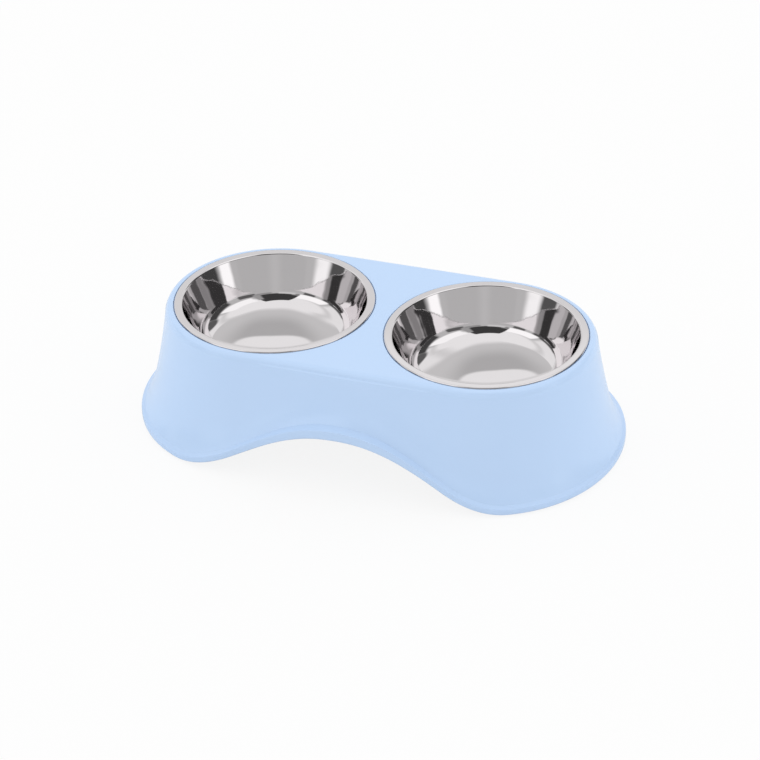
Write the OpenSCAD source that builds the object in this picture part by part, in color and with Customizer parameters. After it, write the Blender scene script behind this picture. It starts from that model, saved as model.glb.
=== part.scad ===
// Double pet bowl: a moulded stand that carries two lift-out steel bowls.
// +X runs along the stand, -Y is its front, and z = 0 is the floor that its rubber feet stand on.

/* [Bowls] */
// Outer diameter of each bowl's rolled rim
rim_d = 160; // [152:1:180]
// Width of the flat ring on top of the rim
rim_w = 6.5; // [5:0.1:8]
// Height of the rolled rim, from its top to its underside
rim_h = 2.4; // [2.2:0.1:3]
// Depth of a bowl, from the rim's top to the middle of its dished floor
bowl_depth = 44.6; // [38:0.2:50]
// Diameter of the dished floor inside a bowl, out to where the corner starts
floor_d = 102; // [90:1:106]
// Slope of the dished floor where it meets the corner
dish_angle = 15; // [2:0.5:17]
// Radius of the corner between the floor and the wall
corner_r = 17; // [8:0.5:18]
// Thickness of the steel sheet
sheet = 0.8; // [0.5:0.1:1]

/* [Stand] */
// Clear distance between the two rims
rim_gap = 16; // [14:1:30]
// Width of the top face round a rim, out to where the walls begin
land = 6.4; // [6:0.1:12]
// Height of the top face above the skirt's lower edge
stand_h = 93; // [80:1:120]
// Radius of the rounded edge between the top face and the walls
edge_r = 5; // [3:0.5:5.5]
// Thickness of the moulded walls
wall = 2.5; // [2:0.1:3]
// How far the rims stand above the top face that they are let into
rim_proud = 0.7; // [0:0.1:1.5]

/* [Skirt] */
// How far the walls lean outwards in a straight slope, from top to foot
wall_lean = 11; // [5:1:16]
// How much further they sweep out, in a curve that gathers towards the foot
wall_sweep = 10; // [4:1:14]
// How far the foot of the skirt flares out beyond the walls
foot_flare = 8.7; // [4:0.1:12]
// Height over which that flare fades into the wall
flare_fade = 10.4; // [6:0.1:16]
// How many times as far the walls spread at the middle of the sides as at the ends
waist_spread = 1.39; // [1:0.01:1.5]
// Share of their spread that the walls lose at the two ends
end_trim = 0.2; // [0:0.01:0.3]
// Height of the upright lip along the skirt's edge, at the feet
lip_h = 5; // [4:0.5:7]
// How much higher the lip is at the crown of the arch
lip_growth = 3; // [0:0.5:5]

/* [Arch] */
// Height of the arch in the front and back of the skirt
arch_h = 45; // [20:1:50]
// Distance from the arch's crown to where the skirt's edge reaches its lowest
arch_reach = 135; // [110:1:150]
// How long the arch holds its crown: a higher value makes it flatter there
arch_hold = 1.09; // [0.9:0.01:1.4]

/* [Feet] */
// Diameter of a rubber foot
foot_d = 14; // [10:1:16]
// Thickness of a rubber foot
foot_t = 3.5; // [3:0.5:5]
// How far the feet stand out below the skirt
foot_drop = 1.5; // [1:0.1:2]
// Angle of a foot about the bowl's centre, from the stand's long axis
foot_angle = 50; // [35:1:55]

/* [Hidden] */

stand_blue = [0.74, 0.84, 0.96];
steel_grey = [0.78, 0.78, 0.79];
rubber_grey = [0.82, 0.84, 0.86];

rim_r = rim_d / 2;
half_pitch = rim_r + rim_gap / 2;
end_r = rim_r + land;
top_t = 3;                        // thickness of the top plate
top_z = foot_drop + stand_h;      // the top face, above the floor
rim_z = top_z + rim_proud;        // the top of the rims
seat_z = rim_z - rim_h;           // the ledge that a rim rests on

// Walls: rings of points, one for each level of the skin, run round this many places
arc_n = 44;                       // places round each end
side_n = 26;                      // places along each side
wall_n = 10;                      // levels of the outer skin below its rounded edge
foot_reach = 106;                 // distance of the skirt's edge from a bowl's centre, for the arch
flare_start = 2.7;                // height above the skirt's edge at which the flare is full
ledge_h = 1.4;                    // height of the soft ledge above the lip
edge_round = 1.2;                 // rounding of the lip's own edge

// Seats, ribs and foot seats under the top
rim_play = 0.6;                   // room round a rim in its recess
bowl_play = 0.9;                  // room round a bowl in the collar
collar_t = 2.4;                   // thickness of a collar
collar_h = 16;                    // how far a collar reaches down from the top face
flange_t = 2.6;                   // thickness of the ledge under a rim
rib_t = 1.8;                      // thickness of the ribs
rib_h = 13;                       // how far the ribs reach down from the top face
rib_levels = 4;                   // points down the end of a rib, where it follows the wall
foot_play = 0.2;                  // room round a rubber foot in its seat
foot_seat_wall = 1.8;             // wall round a rubber foot
foot_seat_h = 12;                 // height of a foot seat
foot_gusset_angle = 4.5;          // half the angle between the two gussets of a foot seat
pocket_depth = foot_t - foot_drop;

// A place on the skin is [x of the centre that its normal points away from, angle of that normal].
places = concat(
    [for (i = [0 : arc_n - 1]) [half_pitch, -90 + 180 * i / arc_n]],
    [for (i = [0 : side_n - 1]) [half_pitch * (1 - 2 * i / side_n), 90]],
    [for (i = [0 : arc_n - 1]) [-half_pitch, 90 + 180 * i / arc_n]],
    [for (i = [0 : side_n - 1]) [-half_pitch * (1 - 2 * i / side_n), 270]]
);

// Rises smoothly from 0 to 1 as u goes from 0 to 1.
function ease(u) = 0.5 - 0.5 * cos(180 * min(1, max(0, u)));

// Height of the skirt's lower edge at a place: the arch, and 0 along the feet.
function edge_x(p) = abs(p[0]) + foot_reach * abs(cos(p[1]));
function edge_z(p) = arch_h * (1 - ease(pow(min(1, edge_x(p) / arch_reach), arch_hold)));
function lip_z(p) = edge_z(p) + lip_h + lip_growth * edge_z(p) / arch_h;

// How far the outer skin stands out from the top's outline at a place and a height.
function lean(z) = wall_lean * (1 - z / stand_h) + wall_sweep * pow(1 - z / stand_h, 1.5);
function flare(p, z) = foot_flare * exp(-max(0, z - edge_z(p) - flare_start) / flare_fade);
function spread(p) = waist_spread + (1 - waist_spread) * ease(abs(p[0]) / half_pitch);
function stand_out(p, z) = spread(p) * (lean(z) + flare(p, z));

// The point that stands out this far at a place, moved in through the wall by inset.
function skin(p, out, inset, z) = [
    p[0] + cos(p[1]) * (end_r + out * (1 - end_trim * abs(cos(p[1]))) - inset),
    sin(p[1]) * (end_r + out - inset),
    foot_drop + z
];

// Distance of the middle of the wall from the centre of a place.
function wall_r(p, z) = norm(skin(p, stand_out(p, z), wall / 2, z) - [p[0], 0, foot_drop + z]);

// Levels of the skin, each [how far it stands out, inset, height]: down outside, up inside.
function wall_levels(p, n) = let (high = stand_h - edge_r, low = lip_z(p) + ledge_h)
    [for (i = [0 : n]) high + (low - high) * (1 - pow(1 - i / n, 1.4))];
function top_edge(p) = [for (q = [0 : 22.5 : 67.5])
    [-edge_r * (1 - sin(q)), 0, stand_h - edge_r * (1 - cos(q))]];
function outside(p) = [for (z = wall_levels(p, wall_n)) [stand_out(p, z), 0, z]];
function lip(p) = let (out = stand_out(p, edge_z(p) + flare_start), low = edge_z(p)) [
    [out - edge_round / 4, 0, lip_z(p)],
    [out, 0, lip_z(p) - edge_round],
    [out, 0, low + edge_round],
    [out - edge_round * 0.3, 0, low + edge_round * 0.3],
    [out - edge_round, 0, low],
    [out, wall, low],
    [out, wall, lip_z(p)]
];
function inside(p) = let (z = wall_levels(p, wall_n / 2))
    [for (i = [wall_n / 2 : -1 : 0]) [stand_out(p, z[i]), wall, z[i]]];
function ceiling(p) = [[0, wall, stand_h - top_t]];
function levels(p) = concat(top_edge(p), outside(p), lip(p), inside(p), ceiling(p));

// The shell: one ring of points for each level, and the top face and ceiling across the first and last.
module shell() {
    n = len(places);
    rows = len(levels(places[0]));
    columns = [for (p = places) [for (v = levels(p)) skin(p, v[0], v[1], v[2])]];
    points = [for (r = [0 : rows - 1]) for (c = columns) c[r]];
    from_tip = [for (i = [0 : n - 1]) (i + arc_n / 2) % n];
    top_face = reversed(from_tip);
    ceiling_face = [for (i = from_tip) (rows - 1) * n + i];
    sides = [for (r = [0 : rows - 2]) for (i = [0 : n - 1]) let (j = (i + 1) % n, a = r * n, b = a + n)
        each [[a + i, a + j, b + j], [a + i, b + j, b + i]]];
    polyhedron(points = points, faces = concat([top_face], sides, [ceiling_face]), convexity = 8);
}

// What stands round a bowl's opening: the ledge that its rim rests on, over a collar.
mouth_r = rim_r - rim_w;
collar_r = mouth_r + sheet + bowl_play;
module collar() {
    inner_r = collar_r - 1;       // inside the hole, which is cut out afterwards
    flange_r = end_r - 0.8 * wall;
    flange_z = seat_z - flange_t;
    rotate_extrude()
        polygon([
            [inner_r, seat_z],
            [flange_r, seat_z],
            [flange_r, flange_z],
            [collar_r + collar_t, flange_z],
            [collar_r + collar_t, top_z - collar_h],
            [inner_r, top_z - collar_h]
        ]);
}

// The opening through the top: the recess round the rim and the hole that the bowl hangs in.
module seat_cut() {
    translate([0, 0, seat_z])
        cylinder(h = rim_h + 1, r = rim_r + rim_play);
    translate([0, 0, top_z - collar_h - 1])
        cylinder(h = collar_h + 2, r = collar_r);
}

// The outer end of a rib at a place: from inside the top plate down the middle of the wall.
function rib_end(p) = concat(
    [[end_r - edge_r, top_z - top_t / 2]],
    [for (i = [0 : rib_levels]) let (z = stand_h - edge_r - i * (rib_h - edge_r) / rib_levels)
        [wall_r(p, z), foot_drop + z]]
);

// A rib between a collar and the wall, along a line from a bowl's centre.
module rib(a) {
    inner_r = collar_r + collar_t / 2;
    rotate([90, 0, a])
        translate([0, 0, -rib_t / 2])
            linear_extrude(rib_t)
                polygon(concat(
                    [[inner_r, top_z - rib_h], [inner_r, top_z - top_t / 2]],
                    rib_end([half_pitch, a])
                ));
}

// The ribs of the bridge between the bowls: one across it and three along it.
module bridge_ribs() {
    half = rib_end([0, 90]);
    other_half = reversed([for (v = half) [-v[0], v[1]]]);
    rotate([90, 0, 90])
        translate([0, 0, -rib_t / 2])
            linear_extrude(rib_t)
                polygon(concat(half, other_half));
    for (y = [-0.5, 0, 0.5] * end_r) {
        reach = half_pitch - sqrt(pow(collar_r + collar_t / 2, 2) - y * y);
        translate([-reach, y - rib_t / 2, top_z - rib_h])
            cube([2 * reach, rib_t, rib_h - top_t / 2]);
    }
}

// Where a foot's centre lies, measured from the bowl's centre.
foot_seat_r = foot_d / 2 + foot_play + foot_seat_wall;
foot_r = wall_r([half_pitch, foot_angle], foot_seat_h) - foot_seat_r;
foot_x = half_pitch + foot_r * cos(foot_angle);
foot_y = foot_r * sin(foot_angle);

// A foot seat: a boss inside the skirt, joined to it by two gussets, with a pocket for the foot.
module foot_seat() {
    gusset_z = edge_round;
    difference() {
        union() {
            translate([foot_x, foot_y, foot_drop])
                cylinder(h = foot_seat_h, r = foot_seat_r);
            for (a = [foot_angle - foot_gusset_angle, foot_angle + foot_gusset_angle]) {
                p = [half_pitch, a];
                ends = [for (i = [0 : rib_levels])
                    let (z = gusset_z + i * (foot_seat_h - gusset_z) / rib_levels)
                    [wall_r(p, z), foot_drop + z]];
                translate([half_pitch, 0, 0])
                    rotate([90, 0, a])
                        translate([0, 0, -rib_t / 2])
                            linear_extrude(rib_t)
                                polygon(concat(ends, [
                                    [foot_r, foot_drop + foot_seat_h],
                                    [foot_r, foot_drop + gusset_z]
                                ]));
            }
        }
        translate([foot_x, foot_y, foot_drop - 1])
            cylinder(h = pocket_depth + 1, r = foot_d / 2 + foot_play);
    }
}

module both_ends() {
    children();
    mirror([1, 0, 0])
        children();
}

module all_corners() {
    both_ends() {
        children();
        mirror([0, 1, 0])
            children();
    }
}

// The one-piece moulded stand.
module stand() {
    color(stand_blue)
        union() {
            difference() {
                union() {
                    shell();
                    both_ends()
                        translate([half_pitch, 0, 0]) {
                            collar();
                            for (a = [-90, -45, 0, 45, 90])
                                rib(a);
                        }
                    bridge_ribs();
                }
                both_ends()
                    translate([half_pitch, 0, 0])
                        seat_cut();
            }
            all_corners()
                foot_seat();
        }
}

// Middle line of a bowl's sheet from the floor's centre to the curled edge: [radius, height, normal's angle].
function arc(x, z, r, a1, a2, n, turn) = [for (i = [0 : n]) let (a = a1 + (a2 - a1) * i / n)
    [x + r * cos(a), z + r * sin(a), a + turn]];
curl_r = (rim_h - sheet) / 2;
bend_r = 1.4;
floor_z = rim_z - bowl_depth - sheet / 2;
flat_z = rim_z - sheet / 2;
dish_mid_r = floor_d / 2 / sin(dish_angle) + sheet / 2;
corner_mid_r = corner_r + sheet / 2;
corner_x = (dish_mid_r - corner_mid_r) * sin(dish_angle);
corner_z = floor_z + dish_mid_r - (dish_mid_r - corner_mid_r) * cos(dish_angle);
// Lean of the wall from upright: the angle whose line touches both the corner and the bend under the rim.
wall_dx = mouth_r + bend_r - corner_x;
wall_dz = flat_z - bend_r - corner_z;
touch = asin((corner_mid_r + bend_r) / norm([wall_dx, wall_dz]));
wall_angle = atan2(wall_dx, wall_dz) - touch;
sheet_line = concat(
    arc(0, floor_z + dish_mid_r, dish_mid_r, -90, dish_angle * 5 / 6 - 90, 5, 180),
    arc(corner_x, corner_z, corner_mid_r, dish_angle - 90, -wall_angle, 10, 180),
    arc(mouth_r + bend_r, flat_z - bend_r, bend_r, 180 - wall_angle, 90, 5, 0),
    arc(rim_r - curl_r - sheet / 2, flat_z - curl_r, curl_r, 90, -90, 10, 0),
    [[rim_r - curl_r - sheet / 2 - 2, flat_z - 2 * curl_r, -90]]
);
function side_of_sheet(d) = [for (v = sheet_line) [v[0] + d * cos(v[2]), v[1] + d * sin(v[2])]];
function reversed(v) = [for (i = [len(v) - 1 : -1 : 0]) v[i]];

// A drawn steel bowl with a rolled rim, about its own axis.
module bowl() {
    color(steel_grey)
        rotate_extrude()
            polygon(concat(side_of_sheet(sheet / 2), reversed(side_of_sheet(-sheet / 2))));
}

module left_bowl() {
    translate([-half_pitch, 0, 0])
        bowl();
}

module right_bowl() {
    translate([half_pitch, 0, 0])
        bowl();
}

// A rubber foot, with its lower edge rounded off.
module foot(x_side, y_side) {
    r = foot_d / 2;
    bevel = 0.6;
    color(rubber_grey)
        translate([x_side * foot_x, y_side * foot_y, 0])
            rotate_extrude()
                polygon([[0, 0], [r - bevel, 0], [r, bevel], [r, foot_t], [0, foot_t]]);
}

stand();
left_bowl();
right_bowl();
foot(-1, -1);  // front_left_foot
foot(1, -1);  // front_right_foot
foot(-1, 1);  // rear_left_foot
foot(1, 1);  // rear_right_foot
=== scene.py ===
# %% [markdown]
# # A double pet bowl
#
# A moulded plastic stand carries two polished steel bowls. The construction comes from a packed
# CAD model, and this file gives it its looks: a finer skin for the stand, finer bowls, and a
# finish for every piece. It also sets up the studio and the camera.

import math

import bmesh
import bpy
import numpy as np
from mathutils import Matrix, Vector


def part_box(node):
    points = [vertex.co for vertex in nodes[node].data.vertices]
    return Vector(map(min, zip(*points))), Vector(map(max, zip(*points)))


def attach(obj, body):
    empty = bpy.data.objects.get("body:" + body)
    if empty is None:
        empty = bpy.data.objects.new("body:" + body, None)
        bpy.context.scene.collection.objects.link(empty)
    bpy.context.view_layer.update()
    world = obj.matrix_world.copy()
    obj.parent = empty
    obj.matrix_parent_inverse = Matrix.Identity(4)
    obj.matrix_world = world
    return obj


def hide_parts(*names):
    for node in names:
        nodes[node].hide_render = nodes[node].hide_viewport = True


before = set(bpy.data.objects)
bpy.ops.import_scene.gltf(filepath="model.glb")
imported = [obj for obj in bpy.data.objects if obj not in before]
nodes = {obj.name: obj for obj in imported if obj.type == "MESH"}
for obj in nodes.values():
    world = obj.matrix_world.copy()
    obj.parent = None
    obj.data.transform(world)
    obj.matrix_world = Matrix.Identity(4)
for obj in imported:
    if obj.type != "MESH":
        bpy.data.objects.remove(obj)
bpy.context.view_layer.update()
print("nodes:", sorted(nodes))

# %% [markdown]
# ## Camera
#
# The photograph was taken with a long lens, from the front and a little to the right, looking
# down at about 32 degrees. A camera could be placed by eye, but its numbers came from fitting
# both rims and the stand's outline, so they are written as an azimuth, an elevation, a roll and
# a distance from the middle of the top face. A long lens far away keeps the perspective gentle.

# %% Directions of the camera
MM = 0.001
AZIMUTH, ELEVATION, ROLL = 19.67, 32.21, -1.39    # in degrees


def camera_axes(azimuth, elevation, roll):
    """The camera's right, up and backward directions."""
    a, e, r = map(math.radians, (azimuth, elevation, roll))
    back = Vector((math.sin(a) * math.cos(e), -math.cos(a) * math.cos(e), math.sin(e)))
    level_right = Vector((math.cos(a), math.sin(a), 0))
    level_up = back.cross(level_right)
    right = level_right * math.cos(r) + level_up * math.sin(r)
    return right, back.cross(right), back


right, up, back = camera_axes(AZIMUTH, ELEVATION, ROLL)
print("the camera looks along", [round(v, 2) for v in -back])

# %% Camera
DISTANCE = 2485 * MM                          # from the middle of the top face
AIM_RIGHT, AIM_UP = 0.42 * MM, -49.6 * MM     # the lens points this far right of it and above it
LENS, SENSOR = 149.7, 36.0                    # in millimetres
NEAREST, FARTHEST = 0.1, 50                   # what the camera draws, in metres

stand_low, stand_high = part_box("stand")
top_middle = Vector((0, 0, stand_high.z))
camera = bpy.data.objects.new("camera", bpy.data.cameras.new("camera"))
bpy.context.scene.collection.objects.link(camera)
place = top_middle + back * DISTANCE + right * AIM_RIGHT + up * AIM_UP
axes = Matrix((right, up, back)).transposed().to_4x4()
camera.matrix_world = Matrix.Translation(place) @ axes
camera.data.sensor_width = SENSOR
camera.data.lens = LENS
camera.data.clip_start, camera.data.clip_end = NEAREST, FARTHEST
bpy.context.scene.camera = camera
print("camera at", [round(v, 3) for v in place])

# %% [markdown]
# ## The stand's shape
#
# The stand is one injection-moulded shell. Seen from above, its top is two half circles joined by
# straight sides. From there the walls lean and sweep outwards to a flared foot, and the lower
# edge rises in a long arch at the front and back. Sculpting or a subdivided cage could reach this
# form, but it follows simple rules, so each point is computed: a place round the top's outline, a
# height, and how far the wall stands out there. The sizes are those of the construction, and the
# skin here is four times as fine.

# %% Sizes of the top
RIM_R = 80 * MM                      # outer radius of a bowl's rim
LAND = 6.4 * MM                      # top face between a rim and the outline
END_R = RIM_R + LAND
HALF_PITCH = 88 * MM                 # from the middle to a bowl's axis
SKIRT_Z = stand_low.z                # the skirt's lower edge
TOP_Z = stand_high.z
STAND_H = TOP_Z - SKIRT_Z
EDGE_R = 5 * MM                      # rounding between the top face and the walls
WALL, TOP_T = 2.5 * MM, 3 * MM       # thickness of the walls and of the top
print("top outline in mm:", round(2000 * (HALF_PITCH + END_R), 1), "by", round(2000 * END_R, 1))

# %% The lower edge
ARCH_H = 45 * MM                     # height of the arch
ARCH_REACH = 135 * MM                # from its crown to where the edge is lowest
ARCH_HOLD = 1.09                     # above 1, the arch holds its height longer
FOOT_REACH = 106 * MM                # about how far the skirt's edge is from a bowl's axis
LIP_H, LIP_GROWTH = 5 * MM, 3 * MM   # the upright lip, and how much higher it is at the crown


def ease(u):
    """Rises smoothly from 0 to 1 as u goes from 0 to 1."""
    return 0.5 - 0.5 * np.cos(np.pi * np.clip(u, 0, 1))


def edge_z(x, a):
    """Height of the lower edge above its lowest parts, at the place with this centre and normal."""
    reach = np.abs(x) + FOOT_REACH * np.abs(np.cos(a))
    return ARCH_H * (1 - ease(np.minimum(1, reach / ARCH_REACH) ** ARCH_HOLD))


def lip_z(x, a):
    """Height of the lip's upper end."""
    return edge_z(x, a) + LIP_H + LIP_GROWTH * edge_z(x, a) / ARCH_H


CROWN = 0.0, math.pi / 2             # centre and normal at the arch's crown
print("arch and lip at the crown in mm:", round(edge_z(*CROWN) / MM, 1), round(lip_z(*CROWN) / MM, 1))

# %% How far the wall stands out
WALL_LEAN, WALL_SWEEP = 11 * MM, 10 * MM     # straight slope, and a curve that gathers at the foot
FOOT_FLARE = 8.7 * MM                        # how far the foot flares beyond them
FLARE_START, FLARE_FADE = 2.7 * MM, 10.4 * MM    # height where it starts to fade, and how fast
WAIST_SPREAD = 1.39                          # times as far out at the middle of the sides
END_TRIM = 0.2                               # share by which it stands out less at the two ends


def stand_out(x, a, z):
    """How far the wall stands out from the top's outline at a place and a height."""
    depth = 1 - z / STAND_H
    lean = WALL_LEAN * depth + WALL_SWEEP * depth ** 1.5
    flare = FOOT_FLARE * np.exp(-np.maximum(0, z - edge_z(x, a) - FLARE_START) / FLARE_FADE)
    spread = WAIST_SPREAD + (1 - WAIST_SPREAD) * ease(np.abs(x) / HALF_PITCH)
    return spread * (lean + flare)


def skin(x, a, out, inset, z):
    """The point of the skin at a place, moved in by inset."""
    trim = 1 - END_TRIM * np.abs(np.cos(a))
    return np.stack([
        x + np.cos(a) * (END_R + out * trim - inset),
        np.sin(a) * (END_R + out - inset),
        SKIRT_Z + z + 0 * x,
    ], axis=-1)


print("foot stands out in mm:", round(float(stand_out(HALF_PITCH, 0.0, 0.0)) / MM, 1))

# %% [markdown]
# ## The shell
#
# A moulding is mostly skin. Each level here is a ring of points round the outline, and quads join
# each ring to the next. The levels run down the outside, round the lip and up the inside, so the
# wall has its real thickness. The top face and the ceiling close the two ends as flat faces.

# %% Helpers for a skin
def new_object(name, points, faces):
    """A mesh object from points and faces."""
    mesh = bpy.data.meshes.new(name)
    mesh.from_pydata([tuple(map(float, p)) for p in points], [], faces)
    mesh.validate()
    obj = bpy.data.objects.new(name, mesh)
    bpy.context.scene.collection.objects.link(obj)
    return obj


def quads(rows, columns, closed_rows=False):
    """Faces between rows of points, where each row closes on itself."""
    last = rows if closed_rows else rows - 1
    return [
        (r * columns + i, r * columns + (i + 1) % columns,
         (r + 1) % rows * columns + (i + 1) % columns, (r + 1) % rows * columns + i)
        for r in range(last) for i in range(columns)
    ]


def outward(obj):
    """Turns all faces of a closed mesh outwards."""
    work = bmesh.new()
    work.from_mesh(obj.data)
    bmesh.ops.recalc_face_normals(work, faces=work.faces)
    work.to_mesh(obj.data)
    work.free()
    return obj


print("skin helpers ready")

# %% Places round the outline
ARC_STEPS, SIDE_STEPS = 176, 104     # round each end and along each side


def places():
    """Centre and normal angle of each place round the outline."""
    arc = np.arange(ARC_STEPS) / ARC_STEPS * np.pi
    side = 1 - 2 * np.arange(SIDE_STEPS) / SIDE_STEPS
    quarter = np.pi / 2
    centre = np.concatenate([0 * arc + 1, side, 0 * arc - 1, -side]) * HALF_PITCH
    angle = np.concatenate([arc - quarter, 0 * side + quarter, arc + quarter, 0 * side - quarter])
    return centre, angle


print("places:", len(places()[0]))

# %% Levels of the skin
EDGE_STEPS, WALL_STEPS, LIP_STEPS, INSIDE_STEPS = 8, 44, 6, 12
GATHER = 1.4                         # how much the levels of a wall gather towards the foot
LEDGE_H, EDGE_ROUND = 1.4 * MM, 1.2 * MM     # the soft ledge above the lip, and the lip's rounding


def wall_heights(x, a, steps):
    """Heights from the rounded edge down to the ledge above the lip."""
    high, low = STAND_H - EDGE_R, lip_z(x, a) + LEDGE_H
    return [high + (low - high) * (1 - (1 - i / steps) ** GATHER) for i in range(steps + 1)]


def top_edge():
    """The rounded edge of the top, as (how far out, inset, height) of each level."""
    return [
        (-EDGE_R * (1 - np.sin(q)), 0, STAND_H - EDGE_R * (1 - np.cos(q)))
        for q in np.linspace(0, np.pi / 2, EDGE_STEPS, endpoint=False)
    ]


def lip(x, a):
    """The levels of the lip, down its outside, round its edge and up its inside."""
    edge, top = edge_z(x, a), lip_z(x, a)
    out = stand_out(x, a, edge + FLARE_START)
    rounded = [
        (out - EDGE_ROUND * (1 - np.cos(q)), 0, edge + EDGE_ROUND * (1 - np.sin(q)))
        for q in np.linspace(0, np.pi / 2, LIP_STEPS)
    ]
    upright = [(out - EDGE_ROUND / 4, 0, top), (out, 0, top - EDGE_ROUND)]
    return upright + rounded + [(out, WALL, edge), (out, WALL, top)]


def levels(x, a):
    """All levels, down the outside and up the inside."""
    down = [(stand_out(x, a, z), 0, z) for z in wall_heights(x, a, WALL_STEPS)]
    back_up = [(stand_out(x, a, z), WALL, z) for z in reversed(wall_heights(x, a, INSIDE_STEPS))]
    return top_edge() + down + lip(x, a) + back_up + [(0, WALL, STAND_H - TOP_T)]


print("levels:", len(levels(*places())))

# %% Shell
def make_shell():
    """The closed shell with no openings yet."""
    x, a = places()
    rings = [skin(x, a, out, inset, z) for out, inset, z in levels(x, a)]
    count = len(x)
    faces = quads(len(rings), count)
    faces.append(tuple(range(count)))
    faces.append(tuple(range((len(rings) - 1) * count, len(rings) * count)))
    inside_box = np.clip(np.concatenate(rings), np.array(stand_low), np.array(stand_high))
    return outward(new_object("stand_shell", inside_box, faces))


stand = make_shell()
print("shell:", len(stand.data.vertices), "points")

# %% [markdown]
# ## Collars and ribs
#
# Under the top, a moulded stand has a ledge and a collar round each bowl, and thin ribs that stop
# the walls from bending. What is round is revolved from its outline, and what is flat is a thin
# plate. Lying inside one another would be enough for a picture, but the real moulding is one
# piece, so a boolean joins them to the shell.

# %% Helpers for solids
def revolve(name, outline, steps, centre=(0, 0)):
    """A solid of revolution from a closed outline of (radius, height) points, about an upright axis."""
    turns = [2 * math.pi * i / steps for i in range(steps)]
    points = [
        (centre[0] + r * math.cos(t), centre[1] + r * math.sin(t), z)
        for r, z in outline for t in turns
    ]
    return new_object(name, points, quads(len(outline), steps, closed_rows=True))


def plate(name, outline, thickness, centre, angle):
    """An upright plate along a line from centre: its outline is in (distance along, height) points."""
    along = Vector((math.cos(angle), math.sin(angle), 0))
    across = Vector((-along.y, along.x, 0)) * thickness / 2
    base = Vector((centre[0], centre[1], 0))
    points = [
        base + along * r + Vector((0, 0, z)) + across * side
        for side in (-1, 1) for r, z in outline
    ]
    n = len(outline)
    sides = [(i, (i + 1) % n, n + (i + 1) % n, n + i) for i in range(n)]
    return new_object(name, points, [tuple(reversed(range(n))), tuple(range(n, 2 * n)), *sides])


def combine(target, tool, operation):
    """Joins target with a tool, or cuts it, and uses the tool up."""
    modifier = target.modifiers.new("combine", "BOOLEAN")
    modifier.object, modifier.operation, modifier.solver = outward(tool), operation, "MANIFOLD"
    seen = target.evaluated_get(bpy.context.evaluated_depsgraph_get())
    made = bpy.data.meshes.new_from_object(seen)
    target.modifiers.clear()
    target.data = made
    bpy.data.objects.remove(tool)


print("solid helpers ready")

# %% Ledge and collar
RIM_W, RIM_H = 6.5 * MM, 2.4 * MM    # flat ring of a rim, and the rim's height
RIM_PROUD = 0.7 * MM                 # how far a rim stands above the top face
SHEET, BOWL_PLAY = 0.8 * MM, 0.9 * MM    # thickness of the steel, and play round a bowl
RIM_Z = TOP_Z + RIM_PROUD
SEAT_Z = RIM_Z - RIM_H               # the ledge that a rim rests on
MOUTH_R = RIM_R - RIM_W
COLLAR_R = MOUTH_R + SHEET + BOWL_PLAY
COLLAR_T, COLLAR_H, FLANGE_T = 2.4 * MM, 16 * MM, 2.6 * MM
FLANGE_R = END_R - 0.8 * WALL        # the ledge ends inside the wall
PAST = 1 * MM                        # solids reach this far past each other where one is cut
COLLAR_STEPS = 256


def collar(side):
    """The ledge under a rim and the collar below it; the hole is cut through both later."""
    inner_r, outer_r = COLLAR_R - PAST, COLLAR_R + COLLAR_T
    flange_z, low = SEAT_Z - FLANGE_T, TOP_Z - COLLAR_H
    outline = [
        (inner_r, SEAT_Z), (FLANGE_R, SEAT_Z), (FLANGE_R, flange_z),
        (outer_r, flange_z), (outer_r, low), (inner_r, low),
    ]
    return revolve("collar", outline, COLLAR_STEPS, (side * HALF_PITCH, 0))


print("collar radius in mm:", round(COLLAR_R / MM, 1))

# %% Ribs
RIB_T, RIB_H, RIB_LEVELS = 1.8 * MM, 13 * MM, 8
RIB_INNER = COLLAR_R + COLLAR_T / 2  # ribs start in the middle of a collar's wall
RIB_LOW, RIB_HIGH = TOP_Z - RIB_H, TOP_Z - TOP_T / 2


def wall_r(x, a, z):
    """Distance of the middle of the wall from a place's centre."""
    x, a, z = (np.asarray(v, float) for v in (x, a, z))
    point = skin(x, a, stand_out(x, a, z), WALL / 2, z)
    return float(np.hypot(point[0] - x, point[1]))


def rib_end(x, a):
    """Outer end of a rib, from inside the top down the middle of the wall."""
    heights = np.linspace(STAND_H - EDGE_R, STAND_H - RIB_H, RIB_LEVELS)
    return [(END_R - EDGE_R, RIB_HIGH)] + [(wall_r(x, a, z), SKIRT_Z + z) for z in heights]


def end_rib(side, a):
    """A rib from a collar to the wall."""
    outline = [(RIB_INNER, RIB_LOW), (RIB_INNER, RIB_HIGH), *rib_end(HALF_PITCH, a)]
    return plate("rib", outline, RIB_T, (side * HALF_PITCH, 0), a if side > 0 else math.pi - a)


def cross_rib():
    """The rib across the bridge between the bowls."""
    half = rib_end(*CROWN)
    outline = half + [(-r, z) for r, z in reversed(half)]
    return plate("rib", outline, RIB_T, (0, 0), math.pi / 2)


def bridge_rib(y):
    """A rib along the bridge, from collar to collar."""
    reach = HALF_PITCH - math.sqrt(RIB_INNER ** 2 - y * y)
    outline = [(-reach, RIB_LOW), (reach, RIB_LOW), (reach, RIB_HIGH), (-reach, RIB_HIGH)]
    return plate("rib", outline, RIB_T, (0, y), 0)


print("ribs reach", round(RIB_H / MM, 1), "mm down")

# %% Join them
ENDS = (-1, 1)
RIB_ANGLES = (-90, -45, 0, 45, 90)

for side in ENDS:
    combine(stand, collar(side), "UNION")
    for degrees in RIB_ANGLES:
        combine(stand, end_rib(side, math.radians(degrees)), "UNION")
combine(stand, cross_rib(), "UNION")
for y in (-END_R / 2, 0, END_R / 2):
    combine(stand, bridge_rib(y), "UNION")
print("stand with ribs:", len(stand.data.polygons), "faces")

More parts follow.
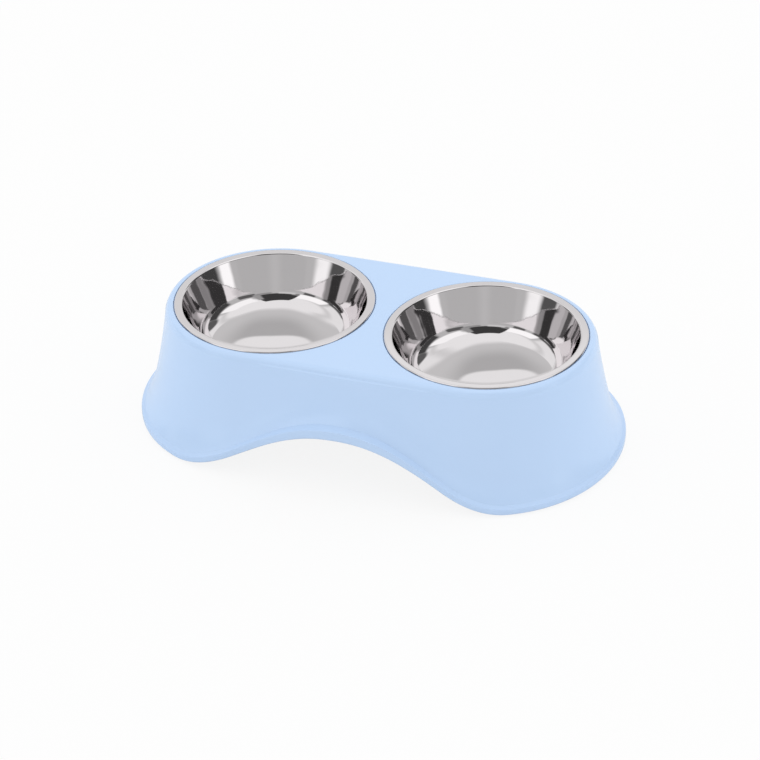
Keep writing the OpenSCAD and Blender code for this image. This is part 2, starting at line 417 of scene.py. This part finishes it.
# %% [markdown]
# ## Openings
#
# Each bowl hangs in a hole, with its rim let into a shallow recess. One revolved cutter takes out
# both. Moulded plastic has no razor edge, and a softened one catches a line of light, so the
# cutter widens a little at the top and at the edge of the hole.

# %% Cut the openings
RIM_PLAY, SOFT_EDGE = 0.6 * MM, 0.4 * MM
FINE_STEPS, SOFT_STEPS = 384, 6
MERGE = 0.001 * MM                   # points on the axis that are closer than this become one


def lathe(name, outline, steps, centre):
    """A solid of revolution whose outline starts and ends on the axis."""
    obj = revolve(name, outline, steps, centre)
    work = bmesh.new()
    work.from_mesh(obj.data)
    bmesh.ops.remove_doubles(work, verts=work.verts, dist=MERGE)
    bmesh.ops.dissolve_degenerate(work, edges=work.edges, dist=MERGE)
    work.to_mesh(obj.data)
    work.free()
    return obj


def opening_cutter(side):
    """What is taken out for a bowl: the recess round its rim, the ledge and the hole."""
    recess_r, above, below = RIM_R + RIM_PLAY, TOP_Z + 5 * PAST, TOP_Z - COLLAR_H - PAST
    soft = [
        (recess_r + SOFT_EDGE * (1 - math.sin(q)), TOP_Z - SOFT_EDGE * (1 - math.cos(q)))
        for q in np.linspace(0, math.pi / 2, SOFT_STEPS)
    ]
    outline = [
        (0, above), (recess_r + SOFT_EDGE, above), *soft, (recess_r, SEAT_Z),
        (COLLAR_R + SOFT_EDGE, SEAT_Z), (COLLAR_R, SEAT_Z - SOFT_EDGE), (COLLAR_R, below), (0, below),
    ]
    return lathe("opening", outline, FINE_STEPS, (side * HALF_PITCH, 0))


for side in ENDS:
    combine(stand, opening_cutter(side), "DIFFERENCE")
print("stand with openings:", len(stand.data.polygons), "faces")

# %% [markdown]
# ## Foot seats
#
# A rubber foot is pushed into a pocket in a boss, which stands just inside the skirt. Two gussets
# join the boss to the wall. They end in the middle of the curved wall, so they follow it.

# %% Sizes of the foot seats
FOOT_D, FOOT_T, FOOT_PLAY = 14 * MM, 3.5 * MM, 0.2 * MM
FOOT_SEAT_WALL, FOOT_SEAT_H = 1.8 * MM, 12 * MM
FOOT_ANGLE = math.radians(50)        # of a foot about a bowl's axis
GUSSET_ANGLE = math.radians(4.5)     # of a gusset to either side of its foot
POCKET_R = FOOT_D / 2 + FOOT_PLAY
FOOT_SEAT_R = POCKET_R + FOOT_SEAT_WALL
FOOT_R = wall_r(HALF_PITCH, FOOT_ANGLE, FOOT_SEAT_H) - FOOT_SEAT_R
DISC_STEPS = 96
print("feet in mm from a bowl's axis:", round(FOOT_R / MM, 1))


# %% Boss, gussets and pocket
def disc(name, radius, low, high, centre):
    """A plain upright cylinder, which has a face at each end."""
    turns = [2 * math.pi * i / DISC_STEPS for i in range(DISC_STEPS)]
    points = [
        (centre[0] + radius * math.cos(t), centre[1] + radius * math.sin(t), z)
        for z in (low, high) for t in turns
    ]
    caps = [tuple(range(DISC_STEPS)), tuple(range(DISC_STEPS, 2 * DISC_STEPS))]
    return new_object(name, points, quads(2, DISC_STEPS) + caps)


def gusset(side, depth, a):
    """A thin plate from a boss to the wall, at this angle about the bowl's axis."""
    low, high = EDGE_ROUND, FOOT_SEAT_H
    outline = [(wall_r(HALF_PITCH, a, z), SKIRT_Z + z) for z in np.linspace(low, high, RIB_LEVELS)]
    outline += [(FOOT_R, SKIRT_Z + high), (FOOT_R, SKIRT_Z + low)]
    direction = math.atan2(depth * math.sin(a), side * math.cos(a))
    return plate("gusset", outline, RIB_T, (side * HALF_PITCH, 0), direction)


def foot_place(side, depth):
    """Middle of the foot at one corner."""
    x = HALF_PITCH + FOOT_R * math.cos(FOOT_ANGLE)
    y = FOOT_R * math.sin(FOOT_ANGLE)
    return side * x, depth * y


def add_foot_seat(side, depth):
    """Joins a boss and its gussets to the stand, and cuts the pocket."""
    centre = foot_place(side, depth)
    combine(stand, disc("boss", FOOT_SEAT_R, SKIRT_Z, SKIRT_Z + FOOT_SEAT_H, centre), "UNION")
    for a in (FOOT_ANGLE - GUSSET_ANGLE, FOOT_ANGLE + GUSSET_ANGLE):
        combine(stand, gusset(side, depth, a), "UNION")
    combine(stand, disc("pocket", POCKET_R, SKIRT_Z - PAST, FOOT_T, centre), "DIFFERENCE")


for side in ENDS:
    for depth in ENDS:
        add_foot_seat(side, depth)
print("whole moulding:", len(stand.data.polygons), "faces")

# %% [markdown]
# ## Smooth shading
#
# The skin should look smooth and the ribs should keep their edges. Shading every face smooth would
# smear light across those edges, so an edge stays sharp where two faces meet at a large angle, and
# normals weighted by face size keep flat faces flat.

# %% Shade the stand
STAND_CREASE = 32                    # in degrees


def shade(obj, crease):
    """Smooth shading, with a hard edge only where two faces meet at more than this angle."""
    obj.data.shade_smooth()
    obj.data.set_sharp_from_angle(angle=math.radians(crease))
    modifier = obj.modifiers.new("normals", "WEIGHTED_NORMAL")
    modifier.keep_sharp = True


stand.name = stand.data.name = "stand_moulding"
shade(stand, STAND_CREASE)
print("stand:", len(stand.data.vertices), "points")

# %% [markdown]
# ## The bowls
#
# Each bowl is drawn from steel sheet 0.8 mm thick: a shallow dished floor, a rounded corner, a
# leaning wall, and a flat rim that is rolled under at its edge. A press and a lathe both make
# round forms, so the outline is revolved. It is laid out as the middle line of the sheet, in arcs
# and straight runs, and moved to both sides by half the thickness, which keeps the sheet equally
# thick everywhere. A bowl's object has its origin on the bowl's axis, so its finish can follow the
# radius.

# %% Sizes of the bowls
BOWL_DEPTH = 44.6 * MM               # from the rim's top to the middle of the floor
FLOOR_R = 51 * MM                    # of the dished floor, out to where the corner starts
DISH_ANGLE = math.radians(15)        # slope of the floor where it meets the corner
CORNER_R, BEND_R = 17 * MM, 1.4 * MM
CURL_R = (RIM_H - SHEET) / 2         # of the rolled edge's middle line
CURL_END = 2 * MM                    # how far the curled edge runs back under the rim
DISH_STEPS, CORNER_STEPS, BEND_STEPS, CURL_STEPS = 24, 24, 12, 20
print("bowl floor in mm above the table:", round((RIM_Z - BOWL_DEPTH) / MM, 1))


# %% Middle line of the sheet
def arc(x, z, r, start, end, steps, turn):
    """An arc of the sheet's middle line: radius, height and direction of the normal."""
    angles = np.linspace(start, end, steps + 1)
    return [(x + r * math.cos(a), z + r * math.sin(a), a + turn) for a in angles]


def between(a, b, t):
    """The point at t from a to b, with a's normal."""
    return (a[0] + (b[0] - a[0]) * t, a[1] + (b[1] - a[1]) * t, a[2])


def sheet_line():
    """The sheet's middle line, from the floor's centre to the curled edge."""
    floor_z, flat_z = RIM_Z - BOWL_DEPTH - SHEET / 2, RIM_Z - SHEET / 2
    dish_r = FLOOR_R / math.sin(DISH_ANGLE) + SHEET / 2
    corner_r = CORNER_R + SHEET / 2
    corner_x = (dish_r - corner_r) * math.sin(DISH_ANGLE)
    corner_z = floor_z + dish_r - (dish_r - corner_r) * math.cos(DISH_ANGLE)
    dx, dz = MOUTH_R + BEND_R - corner_x, flat_z - BEND_R - corner_z
    wall_angle = math.atan2(dx, dz) - math.asin((corner_r + BEND_R) / math.hypot(dx, dz))
    quarter, edge_x = math.pi / 2, RIM_R - CURL_R - SHEET / 2
    dish = arc(0, floor_z + dish_r, dish_r, -quarter, DISH_ANGLE - quarter, DISH_STEPS, math.pi)
    corner_start, bend_x, bend_z = DISH_ANGLE - quarter, MOUTH_R + BEND_R, flat_z - BEND_R
    corner = arc(corner_x, corner_z, corner_r, corner_start, -wall_angle, CORNER_STEPS, math.pi)
    bend = arc(bend_x, bend_z, BEND_R, math.pi - wall_angle, quarter, BEND_STEPS, 0)
    wall = [between(corner[-1], bend[0], t) for t in (0.25, 0.5, 0.75)]
    curl = arc(edge_x, flat_z - CURL_R, CURL_R, quarter, -quarter, CURL_STEPS, 0)
    edge = [(edge_x - CURL_END, flat_z - 2 * CURL_R, -quarter)]
    return dish + corner[1:] + wall + bend + curl + edge


print("points of the line:", len(sheet_line()))

# %% Bowls
BOWL_CREASE = 50                     # in degrees


def make_bowl(side, name):
    """One bowl, with its origin on its own axis."""
    line = sheet_line()
    half = SHEET / 2
    upper = [(r + half * math.cos(n), z + half * math.sin(n)) for r, z, n in line]
    lower = [(r - half * math.cos(n), z - half * math.sin(n)) for r, z, n in line]
    outline = [(max(0, r), z) for r, z in upper + lower[::-1]]
    bowl = outward(lathe(name, outline, FINE_STEPS, (0, 0)))
    bowl.location.x = side * HALF_PITCH
    shade(bowl, BOWL_CREASE)
    return bowl


left_bowl = make_bowl(-1, "left_steel_bowl")
right_bowl = make_bowl(1, "right_steel_bowl")
print("bowl:", len(left_bowl.data.vertices), "points, rim at", round(RIM_Z / MM, 1), "mm")

# %% [markdown]
# ## Shader expressions
#
# Every finish below is made of nodes. Wiring them by hand is long and hard to read, so a small
# class wraps a socket and lets Python's operators add the Math nodes, and one method adds any
# other node. A line such as `0.19 + 0.05 * noise` then reads as the maths that it is.

# %% A socket in Python arithmetic
class Signal:
    """A shader socket whose arithmetic adds Math nodes."""

    def __init__(self, graph, socket):
        self.graph, self.socket = graph, socket

    def math(self, operation, *operands):
        return self.graph.add("Math", {"operation": operation}, dict(enumerate(operands)))["Value"]

    def __add__(self, other):
        return self.math("ADD", self, other)

    def __sub__(self, other):
        return self.math("SUBTRACT", self, other)

    def __rsub__(self, other):
        return self.math("SUBTRACT", other, self)

    def __mul__(self, other):
        return self.math("MULTIPLY", self, other)

    def __truediv__(self, other):
        return self.math("DIVIDE", self, other)

    def __rtruediv__(self, other):
        return self.math("DIVIDE", other, self)

    def __pow__(self, other):
        return self.math("POWER", self, other)

    def __rpow__(self, other):
        return self.math("POWER", other, self)

    def __abs__(self):
        return self.math("ABSOLUTE", self)

    def root(self):
        return self.math("SQRT", self)

    __radd__, __rmul__ = __add__, __mul__


print("socket class ready")

# %% A node tree with one way to add a node
class Graph:
    """The nodes of a material or of the world."""

    def __init__(self, tree):
        self.tree = tree
        tree.nodes.clear()

    def add(self, kind, settings=None, sockets=None):
        """Adds a node, makes its settings, then fills its sockets; returns its outputs by name."""
        node = self.tree.nodes.new("ShaderNode" + kind)
        for name, value in (settings or {}).items():
            setattr(node, name, value)
        shown = [s for s in node.inputs if s.enabled]
        for name, value in (sockets or {}).items():
            target = shown[name] if isinstance(name, int) else next(s for s in shown if s.name == name)
            if isinstance(value, Signal):
                self.tree.links.new(value.socket, target)
            else:
                target.default_value = value
        return {s.name: Signal(self, s) for s in node.outputs if s.enabled}

    def mix(self, factor, a, b):
        """A colour between a and b."""
        settings = {"data_type": "RGBA"}
        return self.add("Mix", settings, {"Factor": factor, "A": a, "B": b})["Result"]


print("shader helpers ready")

# %% [markdown]
# ## Finish of the stand
#
# The stand is pale blue ABS or polypropylene. Such plastic is one colour through and through. What
# makes it look moulded is a soft gloss with a very fine, shallow ripple, called orange peel, and
# slightly uneven gloss. An image could carry both, but noise in the object's own coordinates needs
# no unwrapping and never shows a seam.

# %% Helpers for a finish
def finish(name, principled, bump):
    """A material from a function that gives the Principled sockets, and one that gives a bump."""
    material = bpy.data.materials.new(name)
    material.use_nodes = True
    graph = Graph(material.node_tree)
    sockets = principled(graph)
    height, distance = bump(graph)
    sockets["Normal"] = graph.add("Bump", {}, {"Height": height, "Distance": distance})["Normal"]
    surface = graph.add("BsdfPrincipled", {}, sockets)["BSDF"]
    graph.add("OutputMaterial", {}, {"Surface": surface})
    return material


def noise(graph, size, detail=2.0):
    """Noise from 0 to 1 whose blotches are about this size, in metres."""
    place = graph.add("TexCoord")["Object"]
    return graph.add("TexNoise", {}, {"Vector": place, "Scale": 1 / size, "Detail": detail})["Fac"]


print("finish helpers ready")


# %% Plastic
def plastic_sockets(graph):
    cloud = noise(graph, 60 * MM)
    return {
        "Base Color": graph.mix(cloud, (0.515, 0.682, 0.932, 1), (0.535, 0.698, 0.946, 1)),
        "Roughness": 0.19 + 0.05 * noise(graph, 9 * MM),
        "IOR": 1.46,
    }


def plastic_ripple(graph):
    """The orange peel, as a height from 0 to 1 and what 1 stands for in metres."""
    return noise(graph, 1.6 * MM, 3.0), 0.012 * MM


plastic = finish("pale_blue_plastic", plastic_sockets, plastic_ripple)
print("plastic:", len(plastic.node_tree.nodes), "nodes")

# %% [markdown]
# ## Finish of the bowls
#
# The bowls are drawn, and then polished on a lathe. Drawing leaves the wall very slightly uneven,
# which makes the edges of what it reflects wavy. Polishing leaves extremely fine rings, which
# soften the reflections a little. One-dimensional noise gives the rings: it follows the distance
# from the axis plus the height, so they run round the floor and the wall alike.

# %% Rings and a soft limit
def rings(graph, spacing):
    """Noise that changes with the distance from the bowl's axis plus the height only."""
    place = graph.add("SeparateXYZ", {}, {"Vector": graph.add("TexCoord")["Object"]})
    along = (place["X"] ** 2 + place["Y"] ** 2).root() + place["Z"]
    sockets = {"W": along / spacing, "Scale": 1.0, "Detail": 3.0}
    return graph.add("TexNoise", {"noise_dimensions": "1D"}, sockets)["Fac"]


def inside(value, half, softness):
    """1 where the value is within half of 0, falling softly to 0 outside."""
    limits = {"From Min": half + softness / 2, "From Max": half - softness / 2}
    settings = {"interpolation_type": "SMOOTHSTEP"}
    return value.graph.add("MapRange", settings, {"Value": abs(value), **limits})["Result"]


print("ring helpers ready")

# %% Steel
RING_HEIGHT, UNEVENNESS = 0.0012, 0.10       # in millimetres
WALL_MIDDLE, HALF_WALL, WALL_FADE = 78 * MM, 12 * MM, 6 * MM    # heights of the wall


def steel_sockets(graph):
    wear = noise(graph, 18 * MM, 4.0)
    return {
        "Base Color": graph.mix(wear, (0.80, 0.775, 0.785, 1), (0.78, 0.755, 0.765, 1)),
        "Metallic": 1.0,
        "Roughness": 0.02 + 0.025 * rings(graph, 0.5 * MM) + 0.015 * wear,
    }


def steel_height(graph):
    """The rings everywhere and the unevenness on the wall only, in millimetres."""
    place = graph.add("SeparateXYZ", {}, {"Vector": graph.add("TexCoord")["Object"]})
    on_wall = inside(place["Z"] - WALL_MIDDLE, HALF_WALL, WALL_FADE)
    polished = RING_HEIGHT * rings(graph, 0.4 * MM)
    return polished + UNEVENNESS * on_wall * noise(graph, 16 * MM, 1.0), MM


steel = finish("polished_steel", steel_sockets, steel_height)
print("steel:", len(steel.node_tree.nodes), "nodes")

# %% [markdown]
# ## Finish of the feet
#
# The feet are soft pale rubber, cast with a dull, slightly grainy skin. They hardly show, so one
# fine noise for the grain and a coarser one for dust are enough.

# %% Rubber
def rubber_sockets(graph):
    dust = noise(graph, 3 * MM, 4.0)
    return {
        "Base Color": graph.mix(dust, (0.56, 0.59, 0.62, 1), (0.64, 0.67, 0.70, 1)),
        "Roughness": 0.6 + 0.15 * noise(graph, 1 * MM),
    }


def rubber_grain(graph):
    """The grain, as a height from 0 to 1 and what 1 stands for in metres."""
    return noise(graph, 0.5 * MM, 4.0), 0.03 * MM


rubber = finish("soft_rubber", rubber_sockets, rubber_grain)
print("rubber:", len(rubber.node_tree.nodes), "nodes")

# %% [markdown]
# ## Dressing the frame
#
# The finer skins stand for the CAD pieces of the same shape and move with their bodies. The feet
# are right as they are, so they keep their CAD mesh and get the rubber finish.

# %% Pieces on their bodies
def dress(piece, node, body, material):
    """piece takes a node's place on its body, with its finish."""
    piece.data.materials.clear()
    piece.data.materials.append(material)
    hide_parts(node)
    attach(piece, body)


dress(stand, "stand", "stand", plastic)
dress(left_bowl, "left_bowl", "left_bowl", steel)
dress(right_bowl, "right_bowl", "right_bowl", steel)
for name, node in nodes.items():
    if name.endswith("_foot"):
        for slot in node.material_slots:
            slot.material = rubber
print("dressed:", [o.name for o in (stand, left_bowl, right_bowl)])

# %% [markdown]
# ## Floor
#
# The object stands on white with hardly any shadow. A brighter lamp would whiten the floor, but it
# would also bleach the object. Instead the floor is a plain disc with a pale matt finish, and to
# the camera alone most of its colour is an even glow of its own. What is left of the matt finish
# keeps the faint shadow under the skirt.

# %% Floor
WHITE, PALE = (1, 1, 1, 1), (0.86, 0.86, 0.86, 1)
GLOW_SHARE = 0.88                    # of what the camera sees of the floor
DISC_R, DISC_T = 4.0, 0.01


def floor_material():
    material = bpy.data.materials.new("studio_floor")
    material.use_nodes = True
    graph = Graph(material.node_tree)
    to_camera = graph.add("LightPath")["Is Camera Ray"]
    matt = graph.add("BsdfDiffuse", {}, {"Color": PALE})["BSDF"]
    glow = graph.add("Emission", {}, {"Color": WHITE, "Strength": 1.0})["Emission"]
    seen = graph.add("MixShader", {}, {"Fac": GLOW_SHARE, 1: matt, 2: glow})["Shader"]
    surface = graph.add("MixShader", {}, {"Fac": to_camera, 1: matt, 2: seen})["Shader"]
    graph.add("OutputMaterial", {}, {"Surface": surface})
    return material


floor = disc("studio_floor", DISC_R, -DISC_T, 0, (0, 0))
floor.data.materials.append(floor_material())
print("floor:", 2 * DISC_R, "m across")

# %% [markdown]
# ## What the steel reflects
#
# Polished steel shows its surroundings as a picture, so it needs a studio to reflect. That could
# be built from lamps and boards, but they would light everything else too. Here the world's
# shader draws the studio, for reflections alone: a grey room with soft-edged patches, each with a
# direction, a size and a brightness. There is a bright sweep behind the object, a pale ceiling, a
# wide bright panel above a small bright patch towards each front corner, and dark gaps at both
# sides and above the camera. Azimuth 0 is where the camera stands, and 90 is to its right.

# %% Patches of the studio
ROOM = 0.56                          # brightness between the patches
# name, azimuth and half width, elevation and half height, tilt, softness, brightness;
# a later patch covers an earlier one
STUDIO = [
    ("ceiling", 0, 200, 76, 26, 0.0, 11, 0.97),
    ("back_sweep", 190, 78, 3, 44, 0.0, 12, 0.93),
    ("left_gap", -98, 26, 12, 14, 0.05, 6, 0.10),
    ("left_low_gap", -50, 9, 21, 6, 0.0, 4, 0.12),
    ("left_strip", -61, 9, 2, 11, 0.0, 9, 1.12),
    ("left_panel", -60, 25, 38, 12, 0.13, 6, 1.20),
    ("right_panel", 73, 32, 50, 12, -0.08, 6, 1.15),
    ("front_low", 4, 43, 7, 15, 0.06, 6, 0.53),
    ("front_middle", 0, 6, 8, 16, 0.0, 12, 0.58),
    ("right_low_gap", 44, 13, 26, 8.5, -0.3, 4, 0.12),
    ("right_strip", 63, 7, 1, 13, 0.0, 5, 1.22),
    ("right_gap", 98, 24, 16, 19, 0.15, 7, 0.06),
    ("left_back_gap", -134, 16, 9, 14, 0.0, 6, 0.08),
    ("left_streak", -98, 6, 8, 10, 0.0, 4, 0.70),
    ("camera_gap", -2, 35, 52, 20, 0.08, 3, 0.05),
    ("camera_gap_side", 30, 6, 44, 16, 0.1, 5, 0.38),
    ("left_edge_gap", -31, 6, 34.5, 3.5, 0.0, 3, 0.30),
    ("camera_light_left", -17, 13, 29, 4.5, 0.0, 4, 0.70),
    ("camera_light_right", 18, 12, 29, 4, 0.0, 4, 0.33),
]
# round patches: name, azimuth and half width, elevation and half height, softness, brightness
PATCHES = [
    ("right_back_gap", 132, 12, 30, 12, 6, 0.12),
    ("back_grey", 181, 20.5, 36, 24, 3, 0.66),
    ("back_core", 181, 13, 40, 14, 9, 0.50),
    ("back_light", 181, 10.5, 31, 10, 1.5, 0.95),
    ("back_floor", 181, 80, -60, 91.5, 0.8, 0.80),
]
CORNERS = 2.6                        # 2 makes an ellipse, and more makes squarer corners
print("patches:", len(STUDIO) + len(PATCHES))


# %% The room as an expression
def turned(azimuth, turn):
    """How far an azimuth is from turn, from -180 to 180 degrees."""
    return azimuth.math("WRAP", azimuth - turn, 180, -180)


def reflected_room(azimuth, height):
    """Brightness of the studio in each direction, in degrees, as polished steel shows it."""
    room = ROOM
    for name, turn, half_turn, middle, half_height, tilt, softness, level in STUDIO:
        away = turned(azimuth, turn)
        rise = height - middle - tilt * away
        shape = inside(away, half_turn, softness) * inside(rise, half_height, softness)
        room = room + (level - room) * shape
    for name, turn, half_turn, middle, half_height, softness, level in PATCHES:
        away = turned(azimuth, turn) * (half_height / half_turn)
        distance = (abs(away) ** CORNERS + abs(height - middle) ** CORNERS) ** (1 / CORNERS)
        room = room + (level - room) * inside(distance, half_height, softness)
    return room


print("room ready")

# %% [markdown]
# ## Light
#
# Diffuse surfaces see a white room without patches. It is clearly brighter from both sides and
# slightly darker from the camera's side, because that is how the plastic in the photograph is
# shaded. Large lamps could do the same, but one formula for all directions is easier to adjust.
# One large soft panel above adds a little light on top. The camera sees plain white behind it all.

# %% World
SOFT = 0.868                         # brightness of the room for diffuse surfaces
SOFT_TOWARD, SOFT_ASIDE = 0.10, 0.6  # how much darker towards the camera, and brighter aside


def background(graph, strength):
    sockets = {"Color": WHITE, "Strength": strength}
    return graph.add("Background", {}, sockets)["Background"]


def studio_world():
    world = bpy.data.worlds.new("studio")
    world.use_nodes = True
    graph = Graph(world.node_tree)
    path = graph.add("LightPath")
    way = graph.add("SeparateXYZ", {}, {"Vector": graph.add("TexCoord")["Generated"]})
    a, degrees = math.radians(AZIMUTH), 180 / math.pi
    toward = way["X"] * math.sin(a) - way["Y"] * math.cos(a)
    aside = way["X"] * math.cos(a) + way["Y"] * math.sin(a)
    azimuth = aside.math("ARCTAN2", aside, toward) * degrees
    height = aside.math("ARCSINE", way["Z"]) * degrees
    soft = background(graph, SOFT - SOFT_TOWARD * toward + SOFT_ASIDE * aside ** 2)
    room = background(graph, reflected_room(azimuth, height))
    light = graph.add("MixShader", {}, {"Fac": path["Is Glossy Ray"], 1: soft, 2: room})["Shader"]
    sockets = {"Fac": path["Is Camera Ray"], 1: light, 2: background(graph, 1.0)}
    graph.add("OutputWorld", {}, {"Surface": graph.add("MixShader", {}, sockets)["Shader"]})
    bpy.context.scene.world = world
    return graph


print("world:", len(studio_world().tree.nodes), "nodes")

# %% Panel above
PANEL_PLACE, PANEL_TARGET = Vector((0, 0.2, 1.6)), Vector((0, 0, 0.05))
PANEL_SIZE, PANEL_WATTS = (1.6, 1.2), 1

lamp = bpy.data.lights.new("overhead_panel", "AREA")
lamp.shape, lamp.energy = "RECTANGLE", PANEL_WATTS
lamp.size, lamp.size_y = PANEL_SIZE
overhead = bpy.data.objects.new("overhead_panel", lamp)
bpy.context.scene.collection.objects.link(overhead)
overhead.location = PANEL_PLACE
overhead.rotation_euler = (PANEL_TARGET - PANEL_PLACE).to_track_quat("-Z", "Y").to_euler()
overhead.visible_glossy = False
bpy.context.scene.view_settings.view_transform = "Standard"
print("panel above:", PANEL_SIZE, "m,", PANEL_WATTS, "W")
